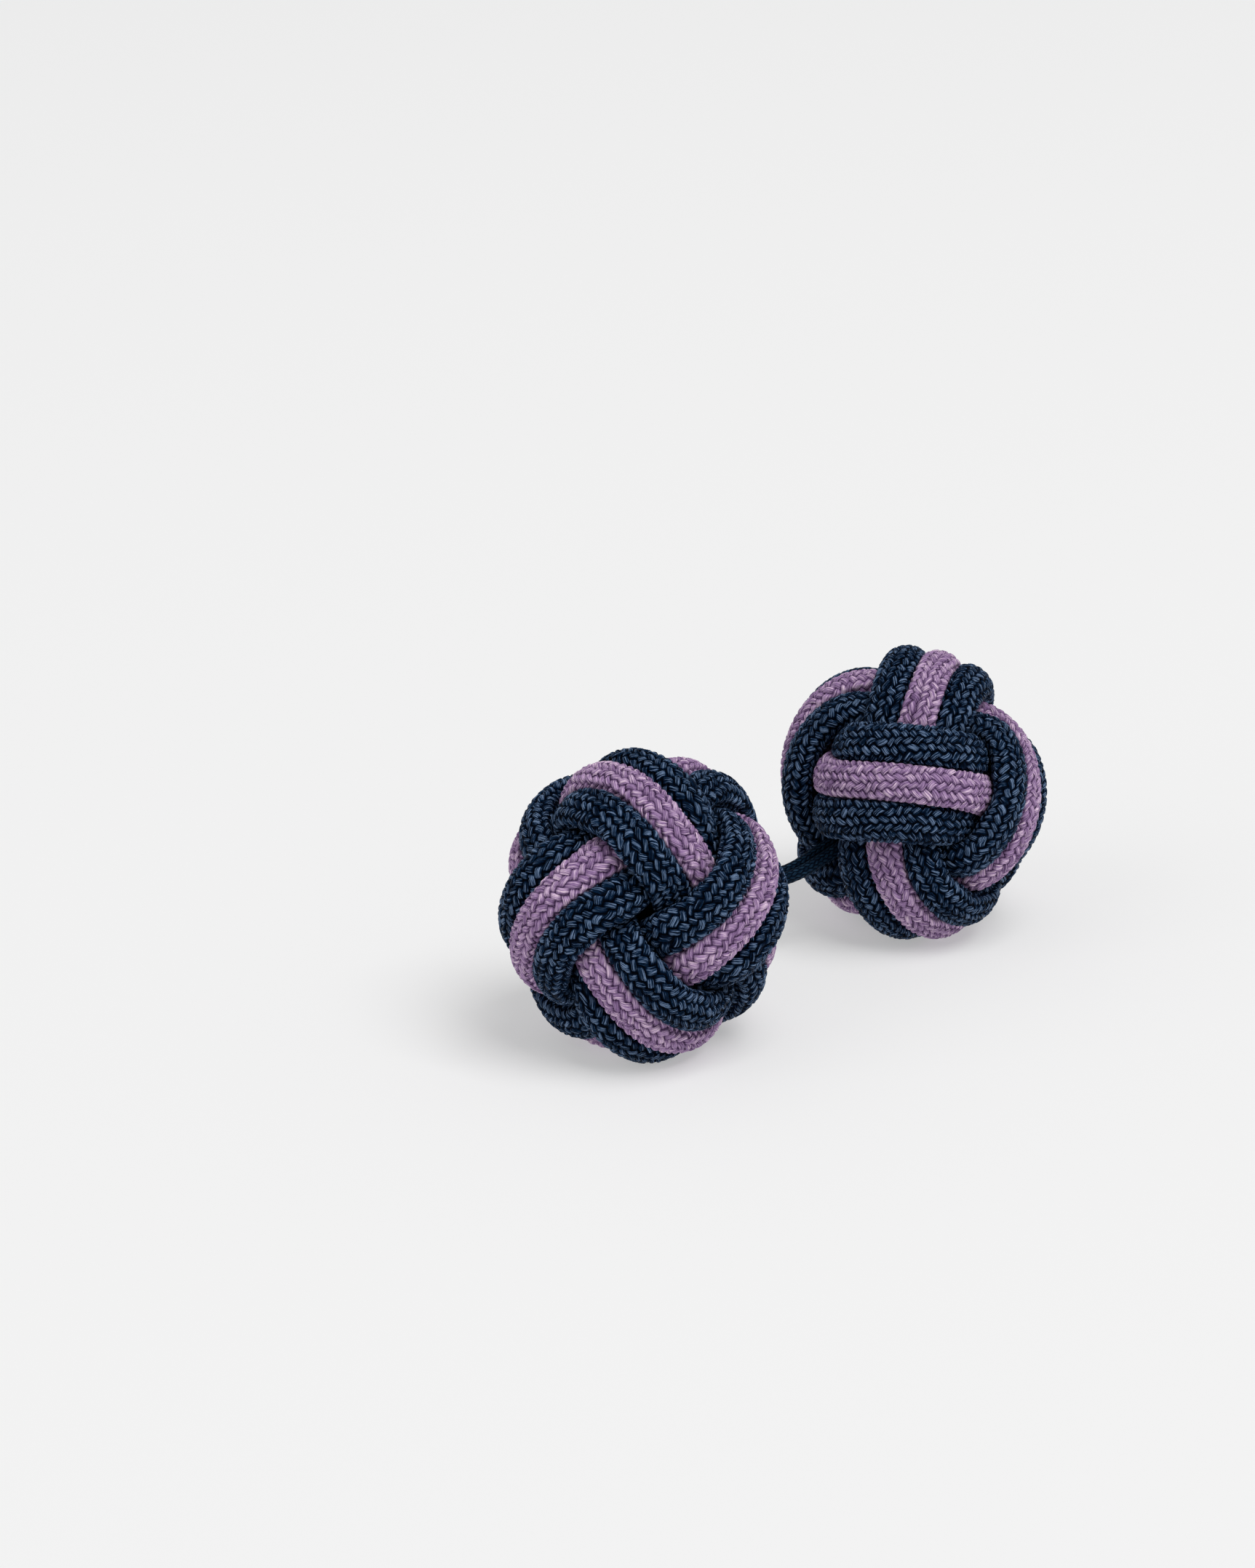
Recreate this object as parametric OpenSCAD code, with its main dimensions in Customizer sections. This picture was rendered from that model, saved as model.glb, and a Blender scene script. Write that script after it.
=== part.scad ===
// Cuff button made of two knot balls on a short elastic link, lying on a flat surface.
// Each ball is a Turk's head of three leads and four bights.
// It is followed by three cords side by side: navy, lilac, navy.
// The cords are closed rings, so their two joined ends stay out of sight inside the ball.
// X runs along the pair, Z is up, and the origin is on the surface under the middle of the pair.

/* [Knots] */

// Width of each knot ball, across its outermost cords
knot_d = 13; // [9:0.1:24]
// Height of each ball as it lies, as a share of its width
knot_tall = 1.1; // [1:0.01:1.15]
// Clear space left between cords that lie side by side
cord_gap = 0.08; // [0.06:0.01:0.12]
// Thickness of a cord, pressed flat against the ball, as a share of its width
cord_flat = 0.8; // [0.75:0.01:0.8]

/* [Link] */

// Clear distance between the two balls, which the link bridges
link_reach = 6.2; // [5:0.1:16]
// Thickness of the two link cords, as a share of what their hole in the ball lets through
link_fill = 0.94; // [0.5:0.01:1]
// Clear space between the two link cords
link_gap = 0.08; // [0.05:0.01:0.1]

/* [Pose] */

// Compass direction of the front ball's outer pole, in degrees from +X
front_heading = 223; // [205:1:235]
// Rise of the front ball's outer pole above level, in degrees
front_rise = 15; // [5:1:25]
// Turn of the front ball about its own pole, in degrees
front_spin = 47; // [0:1:90]
// Compass direction of the back ball's outer pole, in degrees from +X
back_heading = -15; // [-25:1:20]
// Rise of the back ball's outer pole above level, in degrees
back_rise = 19; // [5:1:25]
// Turn of the back ball about its own pole, in degrees
back_spin = 42; // [0:1:90]

/* [Hidden] */

// How the lilac cord and its two navy neighbours are laid, over half a bight.
// A row for every 30 degrees of the lay, from the crown of a bight to the foot of the next.
// height: degrees above the ball's equator
// lead: degrees that the cord runs ahead of a steady turn
// reach: distance from the ball's middle, in cord pitches
// roll_a, roll_b: how far each navy neighbour rolls outward from the flat of the band, in degrees
LAY = [
    //  height  lead  reach  roll_a  roll_b
    [      51,  -13,  2.85,    -25,    -23], // crown, rising from under the last band
    [      50,   -3,  3.30,     -7,    -14], // climbs on to the crossing band
    [      27,    9,  3.60,    -16,     -7], // top of the upper crossing
    [      -3,    9,  3.20,    -36,    -13], // leaves the crossing near the equator
    [     -20,   -2,  2.45,    -34,    -30], // dives under the lower crossing
    [     -39,  -12,  2.30,    -12,    -37]  // lowest, before the foot
];
HEIGHT = 0;
LEAD = 1;
REACH = 2;
ROLL_A = 3;
ROLL_B = 4;

// The whole lay is moved this many degrees towards the outer pole, which opens the link's hole
HOLE_EASE = 1;
// Each middle of a cord is worked out from two neighbours this many degrees of the lay away
STEP = 1;

BIGHTS = 4;
TURN_PER_BIGHT = 270;
RINGS_PER_BIGHT = 32;
RINGS = BIGHTS * RINGS_PER_BIGHT;
SIDES = 10;
LINK_RINGS = 12;

NAVY = [0.07, 0.13, 0.24];
LILAC = [0.62, 0.46, 0.68];

function unit(v) = v / norm(v);
function column(rows, i) = [for (row = rows) row[i]];

// The second half of a bight mirrors the first, with the two neighbours changing places
MIRRORED = [for (row = LAY) [-row[HEIGHT], row[LEAD], row[REACH], row[ROLL_B], row[ROLL_A]]];
BIGHT = concat(LAY, MIRRORED);
ROWS = len(BIGHT);

// Smooth closed curve through evenly spaced rows: each row weighs 1 at its own place, 0 at the others
function weight(x) = abs(sin(x / 2)) < 1e-6 ? 1 : sin(ROWS * x / 2) / (ROWS * tan(x / 2));
function at(p) = [for (i = [0 : ROWS - 1]) weight(p - i * 360 / ROWS)] * BIGHT;

// Middle of the lilac cord at phase p (360 degrees to a bight), in cord pitches
function lay(p) =
    let (row = at(p), tall = row[HEIGHT] + HOLE_EASE, turn = row[LEAD] + p * TURN_PER_BIGHT / 360)
    row[REACH] * [cos(tall) * cos(turn), cos(tall) * sin(turn), sin(tall)];

// Outward and sideways directions of a cord at c that runs along t
function facing(c, t) = let (out = unit(unit(c) - (unit(c) * t) * t)) [out, cross(out, t)];

// Middle of a cord: side 1 and -1 are the navy neighbours, one pitch away, and 0 is the lilac cord
function cord(p, side) =
    let (
        c = lay(p),
        dirs = facing(c, unit(lay(p + STEP) - lay(p - STEP))),
        roll = at(p)[side > 0 ? ROLL_A : ROLL_B]
    )
    side == 0 ? c : c + side * cos(roll) * dirs[1] + cord_flat * sin(roll) * dirs[0];

// One ring of points round a cord, half a unit wide on each side, in cord pitches
function ring(p, side, wide) =
    let (c = cord(p, side), dirs = facing(c, unit(cord(p + STEP, side) - cord(p - STEP, side))))
    [for (k = [0 : SIDES - 1])
        let (a = (k + 0.5) * 360 / SIDES)
        c + wide / 2 * (cos(a) * dirs[1] + cord_flat * sin(a) * dirs[0])];

// The ball's outermost cords set the pitch that fits knot_d, and its innermost ones the heart
MIDDLES = [for (i = [0 : RINGS_PER_BIGHT - 1], side = [-1 : 1]) cord(i * 360 / RINGS_PER_BIGHT, side)];
REACHES = [for (c = MIDDLES) norm(c)];
PITCH = knot_d / 2 / (max(REACHES) + cord_flat / 2);
CORD_W = PITCH - cord_gap;
HEART_R = PITCH * (min(REACHES) - cord_flat / 2) - cord_gap / 2;

// Two link cords side by side fill the hole round the inner pole
HOLE_R = PITCH * min([for (c = MIDDLES) if (c[2] < 0) norm([c[0], c[1]])]) - CORD_W / 2;
LINK_D = link_fill * (HOLE_R - cord_gap - link_gap / 2);

// Points of one whole cord, in mm about the ball's middle: the bights are turned copies of one
function about_z(v, a) = [v[0] * cos(a) - v[1] * sin(a), v[0] * sin(a) + v[1] * cos(a), v[2]];
function one_bight(side) = [for (i = [0 : RINGS_PER_BIGHT - 1])
    each ring(i * 360 / RINGS_PER_BIGHT, side, CORD_W / PITCH)];
function all_bights(side) = let (first = one_bight(side))
    [for (b = [0 : BIGHTS - 1], v = first) PITCH * about_z(v, b * TURN_PER_BIGHT)];

CORD_A = all_bights(1);
CORD_MID = all_bights(0);
CORD_B = all_bights(-1);
BALL = concat(CORD_A, CORD_MID, CORD_B);

// Triangles of a closed tube whose rings follow each other
TUBE_FACES = [for (i = [0 : RINGS - 1], k = [0 : SIDES - 1])
    let (
        a = i * SIDES + k,
        b = i * SIDES + (k + 1) % SIDES,
        c = ((i + 1) % RINGS) * SIDES + (k + 1) % SIDES,
        d = ((i + 1) % RINGS) * SIDES + k
    )
    each [[a, c, b], [a, d, c]]];

// Each ball is drawn up a little taller than it is wide
TALL = [[1, 0, 0], [0, 1, 0], [0, 0, knot_tall]];

// Rotation that spins a ball about its pole, tips the pole to its rise and turns it to its heading
function pose(heading, rise, spin) =
    let (ch = cos(heading), sh = sin(heading), cr = cos(rise), sr = sin(rise))
    [[ch * sr, -sh, ch * cr], [sh * sr, ch, sh * cr], [-cr, 0, sr]]
    * [[cos(spin), -sin(spin), 0], [sin(spin), cos(spin), 0], [0, 0, 1]];

FRONT_POSE = TALL * pose(front_heading, front_rise, front_spin);
BACK_POSE = TALL * pose(back_heading, back_rise, back_spin);
FRONT_BALL = [for (v = BALL) FRONT_POSE * v];
BACK_BALL = [for (v = BALL) BACK_POSE * v];

// Each ball stands on its own lowest cords, and the pair's outline is centred on the origin
FRONT_UP = -min(column(FRONT_BALL, 2));
BACK_UP = -min(column(BACK_BALL, 2));
SPACING = knot_d + link_reach;
MIDDLE_X = (min(column(FRONT_BALL, 0)) + SPACING + max(column(BACK_BALL, 0))) / 2;
LOW_Y = min(concat(column(FRONT_BALL, 1), column(BACK_BALL, 1)));
HIGH_Y = max(concat(column(FRONT_BALL, 1), column(BACK_BALL, 1)));
FRONT_AT = [-MIDDLE_X, -(LOW_Y + HIGH_Y) / 2, FRONT_UP];
BACK_AT = [SPACING - MIDDLE_X, -(LOW_Y + HIGH_Y) / 2, BACK_UP];

// The link leaves each ball along its inner pole and bends freely in between
FRONT_OUT = -unit(column(FRONT_POSE, 2));
BACK_OUT = -unit(column(BACK_POSE, 2));
MOUTH_R = knot_d / 2;
FRONT_MOUTH = FRONT_AT + MOUTH_R * FRONT_OUT;
BACK_MOUTH = BACK_AT + MOUTH_R * BACK_OUT;
LINK_PULL = norm(BACK_MOUTH - FRONT_MOUTH) / 3;
function bend(t) = pow(1 - t, 3) * FRONT_MOUTH
    + 3 * pow(1 - t, 2) * t * (FRONT_MOUTH + LINK_PULL * FRONT_OUT)
    + 3 * (1 - t) * t * t * (BACK_MOUTH + LINK_PULL * BACK_OUT)
    + t * t * t * BACK_MOUTH;

LINK_PATH = concat(
    [FRONT_AT + (HEART_R + link_gap) * FRONT_OUT],
    [for (i = [0 : LINK_RINGS]) bend(i / LINK_RINGS)],
    [BACK_AT + (HEART_R + link_gap) * BACK_OUT]
);
LINK_END = len(LINK_PATH) - 1;

function link_along(i) = unit(LINK_PATH[min(i + 1, LINK_END)] - LINK_PATH[max(i - 1, 0)]);
function link_ring(i, side) =
    let (
        t = link_along(i),
        across = unit(cross([0, 0, 1], t)),
        above = cross(t, across),
        c = LINK_PATH[i] + side * (LINK_D + link_gap) / 2 * across
    )
    [for (k = [0 : SIDES - 1])
        let (a = k * 360 / SIDES) c + LINK_D / 2 * (cos(a) * across + sin(a) * above)];

LINK_FACES = concat(
    [[for (k = [0 : SIDES - 1]) k]],
    [[for (k = [SIDES - 1 : -1 : 0]) LINK_END * SIDES + k]],
    [for (i = [0 : LINK_END - 1], k = [0 : SIDES - 1])
        let (
            a = i * SIDES + k,
            b = i * SIDES + (k + 1) % SIDES,
            c = (i + 1) * SIDES + (k + 1) % SIDES,
            d = (i + 1) * SIDES + k
        )
        each [[a, c, b], [a, d, c]]]
);

// One cord of a ball, as a closed ring
module cord_ring(points, turn, at, tint) {
    color(tint)
        polyhedron(points = [for (v = points) at + turn * v], faces = TUBE_FACES);
}

// The gathered cord ends that each ball is drawn up on
module heart(at) {
    color(NAVY)
        translate(at)
            sphere(r = HEART_R);
}

// One elastic cord of the link
module link_cord(side) {
    color(NAVY)
        polyhedron(points = [for (i = [0 : LINK_END]) each link_ring(i, side)], faces = LINK_FACES);
}

module front_navy_a() {
    cord_ring(CORD_A, FRONT_POSE, FRONT_AT, NAVY);
}

module front_lilac() {
    cord_ring(CORD_MID, FRONT_POSE, FRONT_AT, LILAC);
}

module front_navy_b() {
    cord_ring(CORD_B, FRONT_POSE, FRONT_AT, NAVY);
}

module front_heart() {
    heart(FRONT_AT);
}

module back_navy_a() {
    cord_ring(CORD_A, BACK_POSE, BACK_AT, NAVY);
}

module back_lilac() {
    cord_ring(CORD_MID, BACK_POSE, BACK_AT, LILAC);
}

module back_navy_b() {
    cord_ring(CORD_B, BACK_POSE, BACK_AT, NAVY);
}

module back_heart() {
    heart(BACK_AT);
}

module link_left() {
    link_cord(1);
}

module link_right() {
    link_cord(-1);
}

front_navy_a();
front_lilac();
front_navy_b();
front_heart();
back_navy_a();
back_lilac();
back_navy_b();
back_heart();
link_left();
link_right();
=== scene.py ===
# %% [markdown]
# A silk knot cuff button
# Two balls of knotted cord on a short elastic link, lying on a pale table.
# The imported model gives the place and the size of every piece, so each thing that is
# made here sits where a node of that model sits.

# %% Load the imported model
import math

import bpy
import numpy as np
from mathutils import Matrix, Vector


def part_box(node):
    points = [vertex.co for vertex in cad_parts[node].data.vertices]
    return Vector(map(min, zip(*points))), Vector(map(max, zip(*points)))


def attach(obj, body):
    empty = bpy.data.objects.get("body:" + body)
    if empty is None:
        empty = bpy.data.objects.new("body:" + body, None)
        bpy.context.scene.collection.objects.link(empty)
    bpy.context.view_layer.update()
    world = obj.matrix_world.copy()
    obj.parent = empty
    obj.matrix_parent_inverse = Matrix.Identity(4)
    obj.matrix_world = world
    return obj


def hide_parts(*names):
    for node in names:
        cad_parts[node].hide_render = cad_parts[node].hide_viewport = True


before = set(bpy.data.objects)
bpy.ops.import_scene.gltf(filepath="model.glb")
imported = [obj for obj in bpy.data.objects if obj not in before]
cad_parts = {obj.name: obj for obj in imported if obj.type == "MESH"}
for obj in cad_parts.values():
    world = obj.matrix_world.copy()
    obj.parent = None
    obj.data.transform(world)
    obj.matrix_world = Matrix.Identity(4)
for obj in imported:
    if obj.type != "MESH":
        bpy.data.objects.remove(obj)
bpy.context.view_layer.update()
print("nodes:", ", ".join(sorted(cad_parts)))

# %% [markdown]
# The measures
# A maker knows a knot by a few sizes: the ball, the flatness of its cord and the gap
# between neighbours. They are the same values as in the solid model, in metres.

# %% Sizes and poses
MM = 0.001
KNOT_D = 13 * MM
KNOT_TALL = 1.1
CORD_GAP = 0.08 * MM
CORD_FLAT = 0.8
LINK_FILL = 0.94
LINK_GAP = 0.08 * MM
FRONT_POSE = (223, 15, 47)
BACK_POSE = (-15, 19, 42)
BIGHTS = 4
TURN_PER_BIGHT = math.radians(270)
HOLE_EASE = 1


def middle_of(node):
    """The middle of a node's box: half way between its lowest and highest corners."""
    low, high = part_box(node)
    return (np.array(low) + np.array(high)) / 2


FRONT_AT = middle_of("front_heart")
BACK_AT = middle_of("back_heart")
print("balls at", FRONT_AT.round(4), BACK_AT.round(4))

# %% [markdown]
# How the cords are laid
# The ball is a Turk's head: one lead goes round four times, up over one band and down
# under the next. It could be drawn by hand as a curve, but a short table of one half
# bight says it all, because the other half is its mirror and the bights are turned
# copies. A row is a place every 30 degrees of the lay. The curve through the rows is
# a sum in which each row weighs 1 at its own place and 0 at the others.
# The numbers in it weren't chosen by hand. A search in a separate program moved them
# until the cords cleared each other, and then rounded them.

# %% The table of the lay and the curve through it
LAY = np.array([
    # height  lead  reach  roll_a  roll_b
    [51, -13, 2.85, -25, -23],
    [50, -3, 3.30, -7, -14],
    [27, 9, 3.60, -16, -7],
    [-3, 9, 3.20, -36, -13],
    [-20, -2, 2.45, -34, -30],
    [-39, -12, 2.30, -12, -37],
])
MIRRORED = LAY[:, [0, 1, 2, 4, 3]] * [-1, 1, 1, 1, 1]
BIGHT = np.vstack([LAY, MIRRORED])


def lay_at(phase):
    """Table values at each phase: the sum of the rows times sin(n x/2) / (n tan(x/2)),
    where x is the way from the row and n the number of rows."""
    rows = len(BIGHT)
    x = phase[:, None] - np.arange(rows) * 2 * np.pi / rows
    half = x / 2
    near = np.abs(np.sin(half)) < 1e-9
    safe = np.where(near, 1.0, half)
    weight = np.where(near, 1.0, np.sin(rows * safe) / (rows * np.tan(safe)))
    return weight @ BIGHT


def unit(v):
    """Each vector divided by its own length."""
    return v / np.linalg.norm(v, axis=-1, keepdims=True)


def lilac_middle(phase):
    """Middle line of the lilac cord in pitches: reach times the direction with that
    height above the equator, turned by 270 degrees a bight plus the lead. HOLE_EASE
    lifts it all by a degree, which opens the inner pole for the link."""
    row = lay_at(phase)
    tall = np.radians(row[:, 0] + HOLE_EASE)
    turn = np.radians(row[:, 1]) + phase * TURN_PER_BIGHT / (2 * np.pi)
    flat = np.cos(tall)
    return row[:, 2:3] * np.stack([flat * np.cos(turn), flat * np.sin(turn), np.sin(tall)], 1)


def facing(middle, along):
    """Outward and sideways directions: the part of the radius that is square to the
    cord, and the cross product of the two."""
    radius = unit(middle)
    out = unit(radius - (radius * along).sum(1, keepdims=True) * along)
    return out, np.cross(out, along)


def cord_middle(phase, side):
    """Middle line of a cord: the lilac one, or one pitch to its side, rolled out of the
    flat of the band by the angle in the table."""
    step = math.radians(1)
    middle = lilac_middle(phase)
    if side == 0:
        return middle
    along = unit(lilac_middle(phase + step) - lilac_middle(phase - step))
    out, across = facing(middle, along)
    roll = np.radians(lay_at(phase)[:, 3 if side > 0 else 4])[:, None]
    return middle + side * np.cos(roll) * across + CORD_FLAT * np.sin(roll) * out


# %% The pitch that fits the ball
phases = np.arange(32) * 2 * np.pi / 32
middles = np.concatenate([cord_middle(phases, side) for side in (-1, 0, 1)])
reaches = np.linalg.norm(middles, axis=1)
PITCH = KNOT_D / 2 / (reaches.max() + CORD_FLAT / 2)
HEART_R = PITCH * (reaches.min() - CORD_FLAT / 2) - CORD_GAP / 2
below = middles[middles[:, 2] < 0]
HOLE_R = PITCH * np.hypot(below[:, 0], below[:, 1]).min() - (PITCH - CORD_GAP) / 2
LINK_D = LINK_FILL * (HOLE_R - CORD_GAP - LINK_GAP / 2)
print("pitch %.3f mm, heart %.2f mm, link cord %.2f mm" % (PITCH / MM, HEART_R / MM, LINK_D / MM))

# %% [markdown]
# Soft cords press on each other
# A braided cord is round only where nothing touches it. Drawn up in a knot it swells
# into every gap and goes flat where it meets a neighbour. A simulation would find
# that, but a plain rule comes close and never shakes: from the middle of the cord,
# each ray stops at its own round outline or half way to the nearest other cord,
# whichever comes first. All lengths in this step are in pitches, the way from one
# cord to the next, and the cords are seen as rows of sites along their middle lines.

# %% Evenly spaced rings and the sites of every cord
SITES_PER_BIGHT = 112


def even_phases(side, count):
    """Phases of evenly spaced rings in one bight, and the bight's length: the running
    length of the curve is turned round, so that equal steps of it give the phase."""
    fine = np.linspace(0, 2 * np.pi, 2001)
    line = cord_middle(fine, side)
    run = np.concatenate([[0], np.cumsum(np.linalg.norm(np.diff(line, axis=0), axis=1))])
    return np.interp(np.arange(count) / count * run[-1], run, fine), run[-1]


def whole_ring(line):
    """The four bights of a line: itself turned by 270 degrees each time."""
    copies = []
    for bight in range(BIGHTS):
        angle = bight * TURN_PER_BIGHT
        turned = np.array([[math.cos(angle), -math.sin(angle), 0],
                           [math.sin(angle), math.cos(angle), 0], [0, 0, 1]])
        copies.append(line @ turned.T)
    return np.concatenate(copies)


site_lines = {side: whole_ring(cord_middle(even_phases(side, SITES_PER_BIGHT)[0], side))
              for side in (-1, 0, 1)}
lengths = {side: BIGHTS * even_phases(side, SITES_PER_BIGHT)[1] for side in (-1, 0, 1)}
for side, length in lengths.items():
    print("cord %2d: %.1f mm long before the ball is stretched" % (side, length * PITCH / MM))

# %% One bight of a cord, swollen until it meets its neighbours
SWELL_WIDE = 0.62
SWELL_HIGH = 0.44
PRESSED_GAP = 0.012
LEAST_RADIUS = 0.2
SOFTNESS = 10
OWN_STRETCH = 1.7
NEAREST_SITES = 40
LEAST_FACING = 1e-3
NO_CUT = 9.0
OUT_OF_REACH = 99.0


def swollen_bight(side, count, around):
    """Middle line, ray directions, radii and pressing of one bight. The free outline is
    an oval, 1/r^2 = (cos/wide)^2 + (sin/high)^2. The plane half way to a point d of
    another cord cuts the ray u at |d|^2 / (2 u.d), and the smooth least of both is kept.
    A cord's own sites count only past OWN_STRETCH along it."""
    phase, length = even_phases(side, count)
    middle = cord_middle(phase, side)
    step = math.radians(1)
    along = unit(cord_middle(phase + step, side) - cord_middle(phase - step, side))
    out, across = facing(middle, along)
    angle = np.arange(around) * 2 * np.pi / around
    rays = np.cos(angle)[None, :, None] * across[:, None] + np.sin(angle)[None, :, None] * out[:, None]
    free = 1 / np.sqrt((np.cos(angle) / SWELL_WIDE) ** 2 + (np.sin(angle) / SWELL_HIGH) ** 2)
    cut = np.full((count, around), NO_CUT)
    for other, line in site_lines.items():
        away = line[None] - middle[:, None]
        far = (away ** 2).sum(2)
        if other == side:
            ring = np.arange(count)[:, None] / count * SITES_PER_BIGHT
            apart = np.abs(ring - np.arange(len(line)))
            apart = np.minimum(apart, len(line) - apart) * length / SITES_PER_BIGHT
            far = np.where(apart < OWN_STRETCH, OUT_OF_REACH, far)
        nearest = np.argsort(far, axis=1)[:, :NEAREST_SITES]
        away = np.take_along_axis(away, nearest[:, :, None], 1)
        far = np.take_along_axis(far, nearest, 1)
        reach = np.einsum("nak,nsk->nas", rays, away)
        hit = np.where(reach > LEAST_FACING, far[:, None] / (2 * np.maximum(reach, LEAST_FACING)), NO_CUT)
        cut = np.minimum(cut, hit.min(2))
    cut = np.maximum(cut - PRESSED_GAP, LEAST_RADIUS)
    radius = (free ** -SOFTNESS + cut ** -SOFTNESS) ** (-1 / SOFTNESS)
    pressed = np.clip(1 - radius / free, 0, 1)
    return middle, rays, radius, pressed


SAMPLE_RINGS = 96
SAMPLE_AROUND = 24
for side in lengths:
    sample = swollen_bight(side, SAMPLE_RINGS, SAMPLE_AROUND)[2]
    wide = np.median(sample[:, 0] + sample[:, SAMPLE_AROUND // 2]) * PITCH / MM
    print("cord %2d: %.2f mm wide at the median" % (side, wide))

# %% [markdown]
# The braid
# The cord is a tube of 24 silky yarns, twelve winding each way. Each one passes over
# two and under two, which stands in twelve columns of slanting floats round the cord.
# Real yarns swept one by one would cross about seven thousand times in a cord. A height
# over the tube gives the same bed of floats, and its fine threads are left to the
# material.

# %% Height of the braid over the tube
COLUMNS = 12
FLOAT_STEP = 0.38 * MM
FLOAT_LIFT = 0.060
YARN_CROWN = 0.050
CROWN_POWER = 2.4
FLAT_TOP = 1.35


def braid_height(a, b):
    """Height in pitches where a counts the yarns of one slant and b those of the other.
    A float is a pillow: a flat-topped cosine along it, one wave to four crossings, times
    a lift plus a crown 1 - |2y - 1|^CROWN_POWER across it, y from edge to edge. The
    higher of the two slants shows."""
    i, j = np.floor(a), np.floor(b)
    one = 1 - np.abs(2 * (a - i) - 1) ** CROWN_POWER
    two = 1 - np.abs(2 * (b - j) - 1) ** CROWN_POWER
    first = np.minimum(1, FLAT_TOP * np.cos(np.pi / 2 * (i + b - 1))) * (FLOAT_LIFT + YARN_CROWN * one)
    second = np.minimum(1, FLAT_TOP * np.cos(np.pi / 2 * (a + j - 3))) * (FLOAT_LIFT + YARN_CROWN * two)
    return np.maximum(first, second)


steps = np.linspace(0, 4, 161)
heights = braid_height(*np.meshgrid(steps, steps)) * PITCH / MM
print("floats rise %.3f mm over the gaps" % (heights.max() - heights.min()))

# %% The outer pole, drawn shut
PINCH = 0.62
PINCH_REACH = 1.1
PINCH_AT = math.radians(-10)


def drawn_shut(points):
    """Round the outer pole the cords close up one way, as the last pull leaves them: the
    part of a point along that way is cut by PINCH * exp(-(distance from the axis /
    PINCH_REACH)^2), all in pitches."""
    way = np.array([math.cos(PINCH_AT), math.sin(PINCH_AT), 0])
    far = (points[..., :2] ** 2).sum(-1) / PINCH_REACH ** 2
    share = PINCH * np.exp(-far) * (points[..., 2] > 0)
    return points - (share * (points @ way))[..., None] * way


for side, line in site_lines.items():
    moved = np.linalg.norm(drawn_shut(line) - line, axis=1).max() * PITCH / MM
    print("cord %2d: moved by %.2f mm at most" % (side, moved))


# %% A ball's pose
def pose_matrix(heading, rise, spin):
    """Spin about the pole, tip of the pole to its rise, turn to its heading, stretch up."""
    h, r, s = (math.radians(v) for v in (heading, rise, spin))
    tip = np.array([[math.cos(h) * math.sin(r), -math.sin(h), math.cos(h) * math.cos(r)],
                    [math.sin(h) * math.sin(r), math.cos(h), math.sin(h) * math.cos(r)],
                    [-math.cos(r), 0, math.sin(r)]])
    turn = np.array([[math.cos(s), -math.sin(s), 0], [math.sin(s), math.cos(s), 0], [0, 0, 1]])
    return np.diag([1, 1, KNOT_TALL]) @ tip @ turn


print("front pole points along", pose_matrix(*FRONT_POSE)[:, 2].round(2))


# %% A tube as a mesh
def tube_mesh(name, points, u, v, closed, turns=0):
    """A tube from a grid of points, rings by columns. Each quad joins four neighbours in
    the order that faces outward, the last column meets the first, and the UV map holds
    u round and v along. On a closed tube v has grown by turns when the last ring meets
    the first. An open one gets a face over each end."""
    rings, around = points.shape[:2]
    last = rings if closed else rings - 1
    r, k = np.meshgrid(np.arange(last), np.arange(around), indexing="ij")
    r2, k2 = (r + 1) % rings, (k + 1) % around
    quads = np.stack([r * around + k, r * around + k2, r2 * around + k2, r2 * around + k], 2).reshape(-1, 4)
    caps = [] if closed else [np.arange(around)[::-1], (rings - 1) * around + np.arange(around)]
    corners = np.concatenate([quads.reshape(-1), *caps])
    starts = np.concatenate([np.arange(len(quads)) * 4, quads.size + np.arange(len(caps)) * around])
    mesh = bpy.data.meshes.new(name)
    mesh.vertices.add(rings * around)
    mesh.vertices.foreach_set("co", points.reshape(-1).astype(np.float32))
    mesh.loops.add(len(corners))
    mesh.loops.foreach_set("vertex_index", corners.astype(np.int32))
    mesh.polygons.add(len(starts))
    mesh.polygons.foreach_set("loop_start", starts.astype(np.int32))
    mesh.polygons.foreach_set("use_smooth", np.ones(len(starts), bool))
    mesh.update(calc_edges=True)
    u_grid = np.concatenate([u, u[:, :1] + COLUMNS], 1)
    v_grid = np.concatenate([v, v[:, :1]], 1)
    if closed:
        u_grid = np.concatenate([u_grid, u_grid[:1]])
        v_grid = np.concatenate([v_grid, v_grid[:1] + turns])
    grid = np.stack([u_grid, v_grid], 2)
    uv = np.stack([grid[:last, :-1], grid[:last, 1:], grid[1:last + 1, 1:], grid[1:last + 1, :-1]], 2)
    ends = [] if closed else [grid[0, :-1][::-1], grid[-1, :-1]]
    layer = mesh.uv_layers.new(name="braid")
    layer.data.foreach_set("uv", np.concatenate([uv.reshape(-1, 2), *ends]).reshape(-1).astype(np.float32))
    obj = bpy.data.objects.new(name, mesh)
    bpy.context.scene.collection.objects.link(obj)
    print("%s: %d faces" % (name, len(mesh.polygons)))
    return obj


# %% A cord, from its bight to its place in the ball
WANDER_START = {-1: 0.4, 0: 1.9, 1: 3.1}
SLOW_COLUMNS = 0.9
SLOW_WAVES = 3
QUICK_COLUMNS = 0.5
QUICK_WAVES = 7
QUICK_SEED = 2.3
UNEVEN = [
    # columns off, floats off, waves round, waves along, shift
    (0.12, 0.00, 1, 31, 0.1),
    (0.08, 0.06, -2, 47, 0.6),
    (0.00, 0.12, 2, 73, 0.3),
    (0.06, 0.09, 3, -97, 0.8),
]
SUNK_SHARE = 0.75
PRESSED_FLATTER = 0.5
PRESSED_GROWTH = 3


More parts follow.
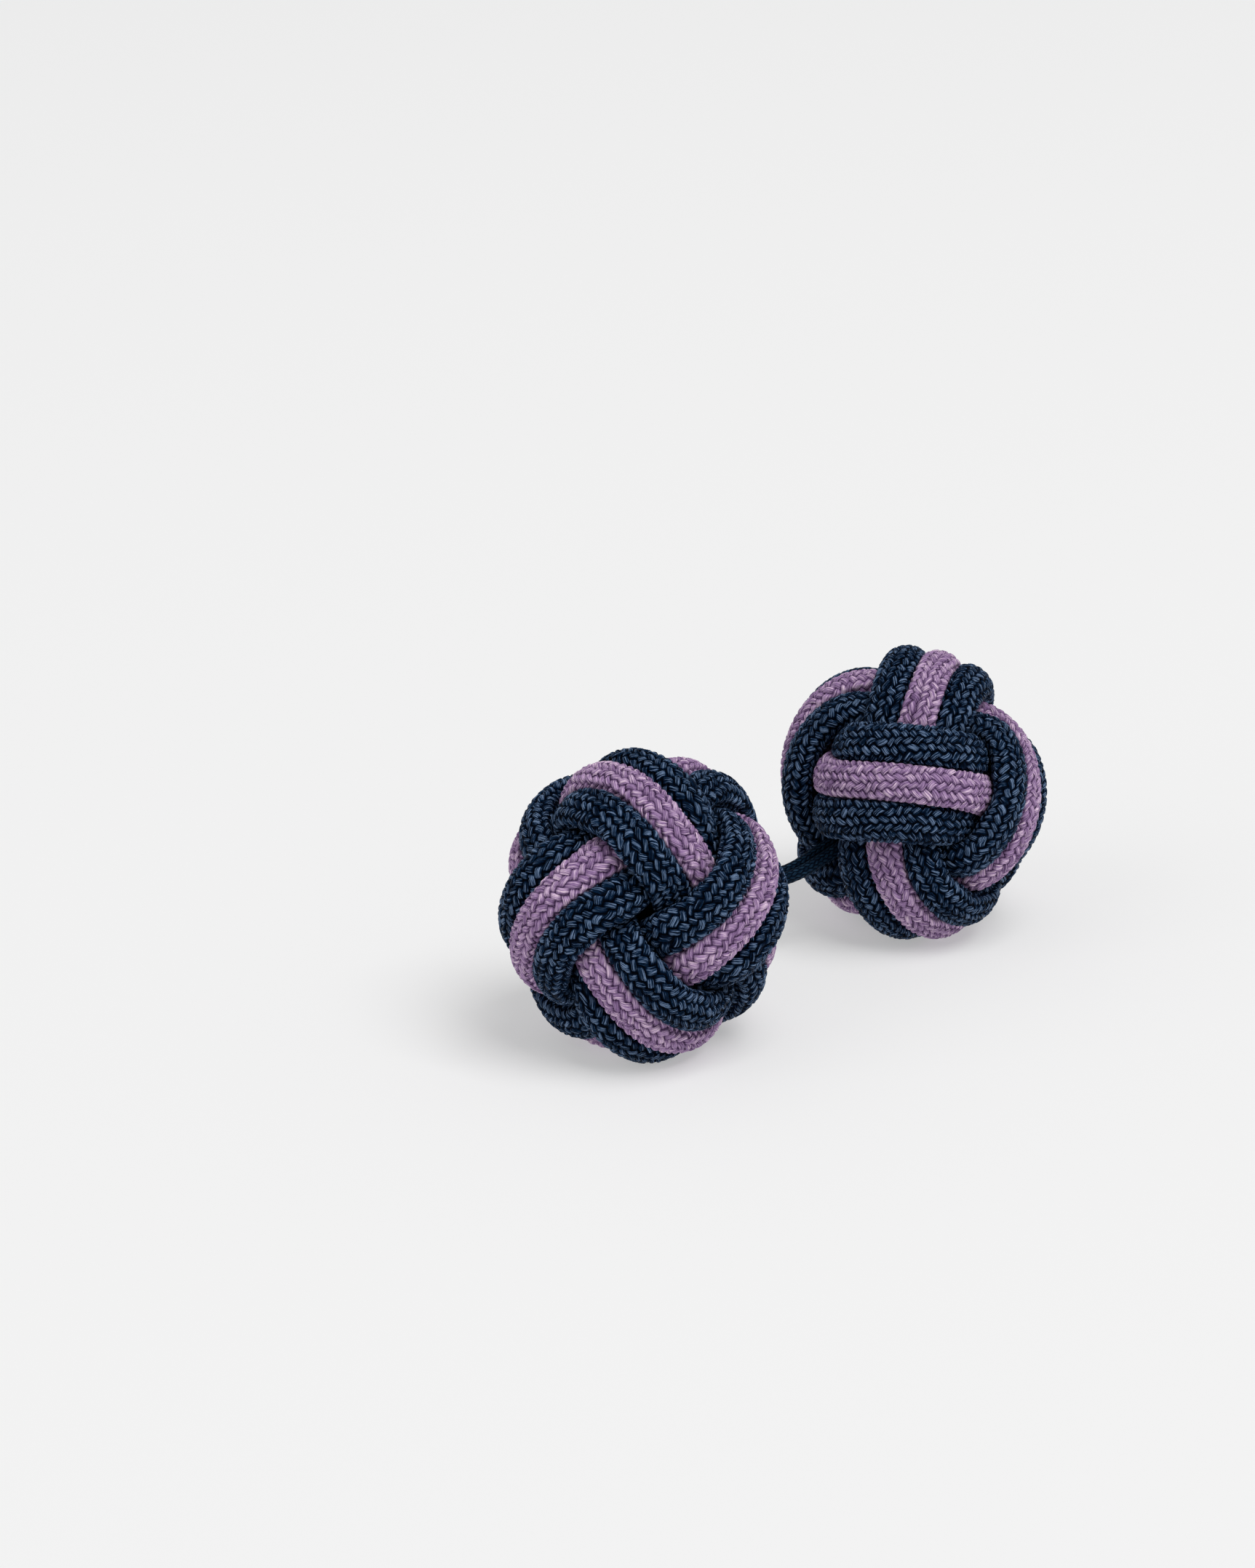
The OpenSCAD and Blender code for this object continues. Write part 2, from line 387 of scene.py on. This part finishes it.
def braided_cord(name, side, at, pose, seed, around, rings_per_float):
    """A knot's cord: middle + ray * (radius + height of the braid). The columns wander
    slowly round the cord as a sum of two sines, as a cord turns when it is pulled, and
    small waves make the floats uneven. SUNK_SHARE of the greatest height lies under the
    tube's own surface, and where the cord is pressed its floats go flatter."""
    floats = COLUMNS * round(lengths[side] * PITCH / FLOAT_STEP / COLUMNS)
    count = round(floats * rings_per_float / BIGHTS)
    middle, rays, radius, pressed = swollen_bight(side, count, around)
    rings = count * BIGHTS
    run = np.arange(rings) / rings
    wander = (SLOW_COLUMNS * np.sin(2 * np.pi * (SLOW_WAVES * run + WANDER_START[side] + seed))
              + QUICK_COLUMNS * np.sin(2 * np.pi * (QUICK_WAVES * run + seed * QUICK_SEED)))
    u = np.arange(around)[None] / around * COLUMNS + wander[:, None]
    v = np.repeat((run * floats)[:, None], around, 1)
    for columns_off, floats_off, waves_round, waves_along, shift in UNEVEN:
        wave = np.sin(2 * np.pi * (waves_round * np.arange(around)[None] / around
                                   + waves_along * run[:, None] + shift + seed))
        u = u + columns_off * wave
        v = v + floats_off * wave
    height = braid_height(u + v, u - v) - (FLOAT_LIFT + YARN_CROWN) * SUNK_SHARE
    flatter = np.clip(np.tile(pressed, (BIGHTS, 1)) * PRESSED_GROWTH, 0, 1)
    height = height * (1 - PRESSED_FLATTER * flatter)
    lines = whole_ring(middle)
    beams = np.stack([whole_ring(rays[:, k]) for k in range(around)], 1)
    radii = np.tile(radius, (BIGHTS, 1))
    points = lines[:, None] + beams * (radii + height)[:, :, None]
    placed = drawn_shut(points) @ pose_matrix(*pose).T * PITCH + at
    placed[:, :, 2] = np.maximum(placed[:, :, 2], 0)
    return tube_mesh(name, placed, u, v, closed=True, turns=floats)


# %% [markdown]
# The cords' silk
# Silk yarn is a bundle of fine straight threads. The colour carries painted light: a
# painted highlight runs along each float as a streak and brightens its crown, up to a
# painted glint, and painted shade darkens the bundle at its sides where it dips under
# its neighbour. The dye is never quite even. A picture of a braid would not follow the
# cord, so all of it is worked out from the braid's own coordinates, and the threads
# turn with every float.

# %% Small helpers for node sums
def calc(tree, operation, *inputs):
    """A Math node of that operation, with numbers or sockets as its inputs."""
    node = tree.nodes.new("ShaderNodeMath")
    node.operation = operation
    for slot, value in enumerate(inputs):
        if isinstance(value, (int, float)):
            node.inputs[slot].default_value = value
        else:
            tree.links.new(value, node.inputs[slot])
    return node.outputs[0]


def pick(tree, factor, low, high):
    """low where factor is 0, high where it is 1: low + factor * (high - low)."""
    return calc(tree, "MULTIPLY_ADD", factor, calc(tree, "SUBTRACT", high, low), low)


def vector_of(tree, *parts):
    """A vector whose first parts are the given sockets."""
    node = tree.nodes.new("ShaderNodeCombineXYZ")
    for slot, part in enumerate(parts):
        tree.links.new(part, node.inputs[slot])
    return node.outputs[0]


# %% Which yarn is on top
OTHER_SLANT = 40.0


def crown(tree, part):
    """1 - |2y - 1|^CROWN_POWER across a yarn, as in braid_height."""
    off = calc(tree, "ABSOLUTE", calc(tree, "MULTIPLY_ADD", part, 2.0, -1.0))
    return calc(tree, "SUBTRACT", 1.0, calc(tree, "POWER", off, CROWN_POWER))


def float_wave(tree, count, shift):
    """cos of a quarter turn a crossing, with its top cut flat."""
    turn = calc(tree, "MULTIPLY", calc(tree, "ADD", count, shift), math.pi / 2)
    return calc(tree, "MINIMUM", 1.0, calc(tree, "MULTIPLY", calc(tree, "COSINE", turn), FLAT_TOP))


def yarn_number(tree, count):
    """Which of a slant's yarns it is, counted round the cord and the same all along."""
    return calc(tree, "FLOORED_MODULO", calc(tree, "ADD", count, 0.5), float(COLUMNS))


def yarn_on_top(tree):
    """What shows at a spot, as braid_height has it: the height, the place across the
    yarn, its number, the number of its float and the way along the cord. The yarns are
    counted as a = u + v and b = u - v, the floats by waves of four crossings."""
    uv = tree.nodes.new("ShaderNodeUVMap")
    uv.uv_map = "braid"
    parts = tree.nodes.new("ShaderNodeSeparateXYZ")
    tree.links.new(uv.outputs[0], parts.inputs[0])
    u, v = parts.outputs[0], parts.outputs[1]
    a, b = calc(tree, "ADD", u, v), calc(tree, "SUBTRACT", u, v)
    i, j = calc(tree, "FLOOR", a), calc(tree, "FLOOR", b)
    part_a, part_b = calc(tree, "FRACT", a), calc(tree, "FRACT", b)
    count_a, count_b = calc(tree, "ADD", i, b), calc(tree, "ADD", a, j)
    pillow_a = calc(tree, "MULTIPLY_ADD", crown(tree, part_a), YARN_CROWN, FLOAT_LIFT)
    pillow_b = calc(tree, "MULTIPLY_ADD", crown(tree, part_b), YARN_CROWN, FLOAT_LIFT)
    first = calc(tree, "MULTIPLY", float_wave(tree, count_a, -1.0), pillow_a)
    second = calc(tree, "MULTIPLY", float_wave(tree, count_b, -3.0), pillow_b)
    top = calc(tree, "GREATER_THAN", first, second)
    yarn_a = calc(tree, "ADD", yarn_number(tree, i), OTHER_SLANT)
    wave_a = calc(tree, "FLOOR", calc(tree, "MULTIPLY_ADD", count_a, 0.25, 0.25))
    wave_b = calc(tree, "FLOOR", calc(tree, "MULTIPLY_ADD", count_b, 0.25, -0.25))
    float_a = calc(tree, "SUBTRACT", i, calc(tree, "MULTIPLY", wave_a, 2.0))
    float_b = calc(tree, "SUBTRACT", calc(tree, "MULTIPLY", wave_b, 2.0), j)
    return (calc(tree, "MAXIMUM", first, second), pick(tree, top, part_b, part_a),
            pick(tree, top, yarn_number(tree, j), yarn_a), pick(tree, top, float_b, float_a), v)


# %% Threads and tint of a yarn
THREADS_PER_YARN = 8
THREADS_ALONG = 0.8
FLOATS_APART = 3.71
THREAD_DETAIL = 3.0
THREAD_ROUGHNESS = 0.7


def threads_and_tint(tree, across, yarn, one_float, v):
    """Two values from 0 to 1: a noise drawn out along the yarn, from another slice for
    each float, and one random value a float."""
    noise = tree.nodes.new("ShaderNodeTexNoise")
    noise.inputs["Scale"].default_value = 1.0
    noise.inputs["Detail"].default_value = THREAD_DETAIL
    noise.inputs["Roughness"].default_value = THREAD_ROUGHNESS
    place = vector_of(tree, calc(tree, "MULTIPLY", across, THREADS_PER_YARN),
                      calc(tree, "MULTIPLY", v, THREADS_ALONG),
                      calc(tree, "MULTIPLY_ADD", one_float, FLOATS_APART, yarn))
    tree.links.new(place, noise.inputs["Vector"])
    tint = tree.nodes.new("ShaderNodeTexWhiteNoise")
    tint.noise_dimensions = "2D"
    tree.links.new(vector_of(tree, yarn, one_float), tint.inputs["Vector"])
    return noise.outputs["Fac"], tint.outputs["Value"]


# %% The silk material
RAMP_PLACES = (0.10, 0.38, 0.60, 0.84)
MIDDLE_TONE = 0.44
TINT_SHARE = 0.16
STREAK_MIDDLE = 0.5
CROWN_MIDDLE = 0.7
# the height where the painted shade in the gaps is deepest
PAINTED_SHADE_FLOOR = 0.005
BED_RELIEF = 0.6
THREAD_RELIEF = 0.06 * MM
SILK_ROUGHNESS = 0.42


def silk_tone(tree, height, streak, tint, contrast, painted_crown_light, painted_shade_top, painted_gap_shade):
    """TINT_SHARE * tint + contrast * (streak - STREAK_MIDDLE) + painted_crown_light * (height /
    greatest height - CROWN_MIDDLE) + MIDDLE_TONE. The streak term is painted highlight
    along the threads, and the crown term is painted light on the top of each float and
    painted shade at its ends. Below the height painted_shade_top, in pitches, painted shade in
    the gaps makes it fall off to painted_gap_shade of itself."""
    middle = MIDDLE_TONE - STREAK_MIDDLE * contrast - CROWN_MIDDLE * painted_crown_light
    tone = calc(tree, "MULTIPLY_ADD", tint, TINT_SHARE, middle)
    tone = calc(tree, "MULTIPLY_ADD", height, painted_crown_light / (FLOAT_LIFT + YARN_CROWN), tone)
    tone = calc(tree, "MULTIPLY_ADD", streak, contrast, tone)
    painted_shade_range = tree.nodes.new("ShaderNodeMapRange")
    painted_shade_range.inputs["From Min"].default_value = PAINTED_SHADE_FLOOR
    painted_shade_range.inputs["From Max"].default_value = painted_shade_top
    tree.links.new(height, painted_shade_range.inputs["Value"])
    shade = calc(tree, "MULTIPLY_ADD", painted_shade_range.outputs[0], 1 - painted_gap_shade, painted_gap_shade)
    return calc(tree, "MULTIPLY", tone, shade)


def silk(name, colours, shine, contrast, painted_crown_light, painted_shade_top, painted_gap_shade, gloss):
    """Braided silk whose tone picks one of four colours, from a thread in painted shade,
    through two colours of the silk itself, to a painted glint. shine and gloss are the
    tint and the strength of its reflection."""
    material = bpy.data.materials.new(name)
    material.use_nodes = True
    tree = material.node_tree
    shader = tree.nodes["Principled BSDF"]
    height, across, yarn, one_float, v = yarn_on_top(tree)
    streak, tint = threads_and_tint(tree, across, yarn, one_float, v)
    tone = silk_tone(tree, height, streak, tint, contrast, painted_crown_light, painted_shade_top, painted_gap_shade)
    ramp = tree.nodes.new("ShaderNodeValToRGB")
    stops = ramp.color_ramp.elements
    for number, (place, colour) in enumerate(zip(RAMP_PLACES, colours)):
        stop = stops[number] if number < 2 else stops.new(place)
        stop.position = place
        stop.color = (*colour, 1)
    tree.links.new(tone, ramp.inputs[0])
    tree.links.new(ramp.outputs[0], shader.inputs["Base Color"])
    bump = tree.nodes.new("ShaderNodeBump")
    bump.inputs["Strength"].default_value = 1.0
    bump.inputs["Distance"].default_value = 1.0
    relief = calc(tree, "MULTIPLY", height, BED_RELIEF * PITCH)
    relief = calc(tree, "MULTIPLY_ADD", streak, THREAD_RELIEF, relief)
    tree.links.new(relief, bump.inputs["Height"])
    tree.links.new(bump.outputs[0], shader.inputs["Normal"])
    shader.inputs["Roughness"].default_value = SILK_ROUGHNESS
    shader.inputs["Specular IOR Level"].default_value = gloss
    shader.inputs["Specular Tint"].default_value = (*shine, 1)
    print("material", name)
    return material


# Each list of colours runs from painted shade, through two colours of the silk, to a painted glint.
navy_silk = silk(
    "navy_silk",
    [(0.0001, 0.0006, 0.0025), (0.0008, 0.0058, 0.021), (0.0040, 0.0245, 0.067), (0.17, 0.25, 0.40)],
    shine=(0.5, 0.7, 1.0), contrast=2.9, painted_crown_light=0.20, painted_shade_top=0.080, painted_gap_shade=0.08, gloss=0.05)
lilac_silk = silk(
    "lilac_silk",
    [(0.037, 0.014, 0.056), (0.240, 0.137, 0.300), (0.455, 0.290, 0.525), (0.95, 0.74, 0.89)],
    shine=(1.0, 0.90, 1.0), contrast=2.0, painted_crown_light=0.15, painted_shade_top=0.050, painted_gap_shade=0.35, gloss=0.10)

# %% Make the six cords of the two knots
KNOTS = [
    # knot, place, pose, seed, points round a cord, rings to a float
    ("front", FRONT_AT, FRONT_POSE, 0.0, 58, 5.6),
    ("back", BACK_AT, BACK_POSE, 0.37, 48, 4.8),
]
for knot, at, pose, seed, around, rings_per_float in KNOTS:
    for part, side in (("navy_a", 1), ("lilac", 0), ("navy_b", -1)):
        name = "%s_%s" % (knot, part)
        cord = braided_cord(name + "_braid", side, at, pose, seed, around, rings_per_float)
        cord.data.materials.append(lilac_silk if side == 0 else navy_silk)
        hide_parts(name)
        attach(cord, "root")

# %% [markdown]
# The link
# The two balls hang on a pair of thin covered elastic cords. They could be drawn point
# by point, but they leave each ball along its inner pole and bend in between like any
# springy cord, which a curve of four control points follows well.

# %% Route of the link
ROOT_POINTS = 30
BEND_POINTS = 110


def bend(start, start_out, end, end_out, count):
    """Points of a cubic Bezier curve: (1-t)^3 A + 3 (1-t)^2 t B + 3 (1-t) t^2 C + t^3 D,
    with B and C a third of the way out along each mouth's direction."""
    pull = np.linalg.norm(end - start) / 3
    t = np.linspace(0, 1, count)[:, None]
    return ((1 - t) ** 3 * start + 3 * (1 - t) ** 2 * t * (start + pull * start_out)
            + 3 * (1 - t) * t ** 2 * (end + pull * end_out) + t ** 3 * end)


front_out = -unit(pose_matrix(*FRONT_POSE)[:, 2])
back_out = -unit(pose_matrix(*BACK_POSE)[:, 2])
front_mouth = FRONT_AT + KNOT_D / 2 * front_out
back_mouth = BACK_AT + KNOT_D / 2 * back_out
inside = np.linspace(0, 1, ROOT_POINTS)[:, None]
front_root = FRONT_AT + (HEART_R + LINK_GAP) * front_out
back_root = BACK_AT + (HEART_R + LINK_GAP) * back_out
route = np.concatenate([
    front_root + (front_mouth - front_root) * inside[:-1],
    bend(front_mouth, front_out, back_mouth, back_out, BEND_POINTS),
    back_mouth + (back_root - back_mouth) * inside[1:]])
print("link route %.1f mm" % (np.linalg.norm(np.diff(route, axis=0), axis=1).sum() / MM))

# %% The two link cords
LINK_AROUND = 24
LINK_FLOAT_STEP = 0.3 * MM
LINK_BODY = 0.97
LINK_RELIEF = 0.8
LINK_SUNK = 0.05
LINK_TIP = 0.02


def link_cord(name, side):
    """A thin tube beside the route, with the radius LINK_D / 2 * (LINK_BODY +
    LINK_RELIEF * (height of the braid - LINK_SUNK)). Its end rings shrink to a tip."""
    along = unit(np.gradient(route, axis=0))
    across = unit(np.cross([0, 0, 1], along))
    above = np.cross(along, across)
    middle = route + side * (LINK_D + LINK_GAP) / 2 * across
    angle = np.arange(LINK_AROUND) * 2 * np.pi / LINK_AROUND
    run = np.concatenate([[0], np.cumsum(np.linalg.norm(np.diff(route, axis=0), axis=1))])
    u = np.repeat((np.arange(LINK_AROUND) / LINK_AROUND * COLUMNS)[None], len(route), 0)
    v = np.repeat((run / LINK_FLOAT_STEP)[:, None], LINK_AROUND, 1)
    radius = LINK_D / 2 * (LINK_BODY + LINK_RELIEF * (braid_height(u + v, u - v) - LINK_SUNK))
    radius[0] = radius[-1] = LINK_D * LINK_TIP
    beams = np.cos(angle)[None, :, None] * across[:, None] + np.sin(angle)[None, :, None] * above[:, None]
    return tube_mesh(name, middle[:, None] + beams * radius[:, :, None], u, v, closed=False)


# The colours run from painted shade, through two colours of the elastic's cover, to a painted glint.
elastic = silk(
    "navy_elastic",
    [(0.0006, 0.002, 0.006), (0.003, 0.010, 0.026), (0.009, 0.030, 0.065), (0.03, 0.08, 0.14)],
    shine=(0.6, 0.8, 1.0), contrast=1.6, painted_crown_light=0.2, painted_shade_top=0.090, painted_gap_shade=0.25, gloss=0.06)
for part, side in (("link_left", 1), ("link_right", -1)):
    cord = link_cord(part + "_braid", side)
    cord.data.materials.append(elastic)
    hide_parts(part)
    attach(cord, "root")

# %% [markdown]
# The hearts
# Inside each ball the cord ends are gathered in a lump. It could be modelled end by
# end, but only a dark glimpse of it shows through the poles, so the solid model's ball
# stays and takes a dark, fibrous finish.

# %% Finish of the hearts
FIBRE_SCALE = 3000
FIBRE_DETAIL = 4
FIBRE_RELIEF = 0.1 * MM
gathered = bpy.data.materials.new("gathered_ends")
gathered.use_nodes = True
tree = gathered.node_tree
shader = tree.nodes["Principled BSDF"]
place = tree.nodes.new("ShaderNodeTexCoord")
fibres = tree.nodes.new("ShaderNodeTexNoise")
fibres.inputs["Scale"].default_value = FIBRE_SCALE
fibres.inputs["Detail"].default_value = FIBRE_DETAIL
tree.links.new(place.outputs["Object"], fibres.inputs["Vector"])
ramp = tree.nodes.new("ShaderNodeValToRGB")
ramp.color_ramp.elements[0].color = (0.0008, 0.002, 0.005, 1)
ramp.color_ramp.elements[1].color = (0.004, 0.012, 0.028, 1)
tree.links.new(fibres.outputs["Fac"], ramp.inputs[0])
tree.links.new(ramp.outputs[0], shader.inputs["Base Color"])
bump = tree.nodes.new("ShaderNodeBump")
bump.inputs["Distance"].default_value = FIBRE_RELIEF
tree.links.new(fibres.outputs["Fac"], bump.inputs["Height"])
tree.links.new(bump.outputs[0], shader.inputs["Normal"])
shader.inputs["Roughness"].default_value = 0.8
for node in ("front_heart", "back_heart"):
    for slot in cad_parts[node].material_slots:
        slot.material = gathered
print("both hearts finished in", gathered.name)

# %% [markdown]
# The table, the light and the camera
# A close look on a light table: the table glows faintly by itself, which keeps every
# shadow as pale as in the photo. A wide soft light hangs above, in front and to the
# right, a much weaker one stands on the left, and the room is bright all round. A
# darker table with stronger lamps would give the same brightness but a heavy shadow.
# The camera looks down on the balls a little, and the front ball's outer pole faces it.

# %% Table
TABLE_HALF = 3.0
TABLE_GREY = 0.57
TABLE_GLOW = 0.37
mesh = bpy.data.meshes.new("table")
table_corners = [(-TABLE_HALF, -TABLE_HALF, 0), (TABLE_HALF, -TABLE_HALF, 0),
                 (TABLE_HALF, TABLE_HALF, 0), (-TABLE_HALF, TABLE_HALF, 0)]
mesh.from_pydata(table_corners, [], [(0, 1, 2, 3)])
table = bpy.data.objects.new("table", mesh)
bpy.context.scene.collection.objects.link(table)
paper = bpy.data.materials.new("pale_table")
paper.use_nodes = True
shader = paper.node_tree.nodes["Principled BSDF"]
shader.inputs["Base Color"].default_value = (TABLE_GREY, TABLE_GREY, TABLE_GREY, 1)
shader.inputs["Roughness"].default_value = 0.9
shader.inputs["Specular IOR Level"].default_value = 0
shader.inputs["Emission Color"].default_value = (1, 1, 1, 1)
shader.inputs["Emission Strength"].default_value = TABLE_GLOW
mesh.materials.append(paper)
print("table %.0f m across" % (2 * TABLE_HALF))

# %% Camera
CAMERA_AZIMUTH = math.radians(-48)
CAMERA_RISE = math.radians(20)
PHOTO_PX = (1725, 2156)
FRONT_BALL_PX = (884, 1243)
PX_PER_MM = 30.8
LENS = 100
SENSOR = 36
back = Vector((math.sin(CAMERA_AZIMUTH) * math.cos(CAMERA_RISE),
               -math.cos(CAMERA_AZIMUTH) * math.cos(CAMERA_RISE), math.sin(CAMERA_RISE)))
turn = (-back).to_track_quat("-Z", "Y")
right, up = turn @ Vector((1, 0, 0)), turn @ Vector((0, 1, 0))
distance = LENS / SENSOR * PHOTO_PX[1] / PX_PER_MM * MM
right_mm = (FRONT_BALL_PX[0] - PHOTO_PX[0] / 2) / PX_PER_MM
down_mm = (FRONT_BALL_PX[1] - PHOTO_PX[1] / 2) / PX_PER_MM
aim = Vector(FRONT_AT) - right * right_mm * MM + up * down_mm * MM
camera = bpy.data.objects.new("camera", bpy.data.cameras.new("camera"))
bpy.context.scene.collection.objects.link(camera)
camera.data.lens = LENS
camera.data.clip_start = 0.005
camera.data.clip_end = 20
camera.location = aim + back * distance
camera.rotation_mode = "QUATERNION"
camera.rotation_quaternion = turn
bpy.context.scene.camera = camera
print("camera %.0f mm away" % (distance / MM))


# %% Light
def soft_light(name, across, height, in_front, size, power):
    """A square area light placed in the camera's own directions, turned to the knot."""
    lamp = bpy.data.lights.new(name, "AREA")
    lamp.size = size
    lamp.energy = power
    obj = bpy.data.objects.new(name, lamp)
    bpy.context.scene.collection.objects.link(obj)
    level_back = Vector((back.x, back.y, 0)).normalized()
    obj.location = right * across + Vector((0, 0, height)) + level_back * in_front
    obj.rotation_mode = "QUATERNION"
    obj.rotation_quaternion = (Vector((0, 0, 0)) - obj.location).to_track_quat("-Z", "Y")
    print("%s light %.2f m away" % (name, obj.location.length))


ROOM_LIGHT = 0.37
soft_light("key", 0.60, 1.60, 0.55, 1.10, 19.5)
soft_light("fill", -1.00, 0.75, 0.60, 1.00, 2.2)
world = bpy.data.worlds.new("room")
bpy.context.scene.world = world
world.use_nodes = True
world.node_tree.nodes["Background"].inputs[0].default_value = (1, 1, 1, 1)
world.node_tree.nodes["Background"].inputs[1].default_value = ROOM_LIGHT
bpy.context.scene.view_settings.view_transform = "Standard"
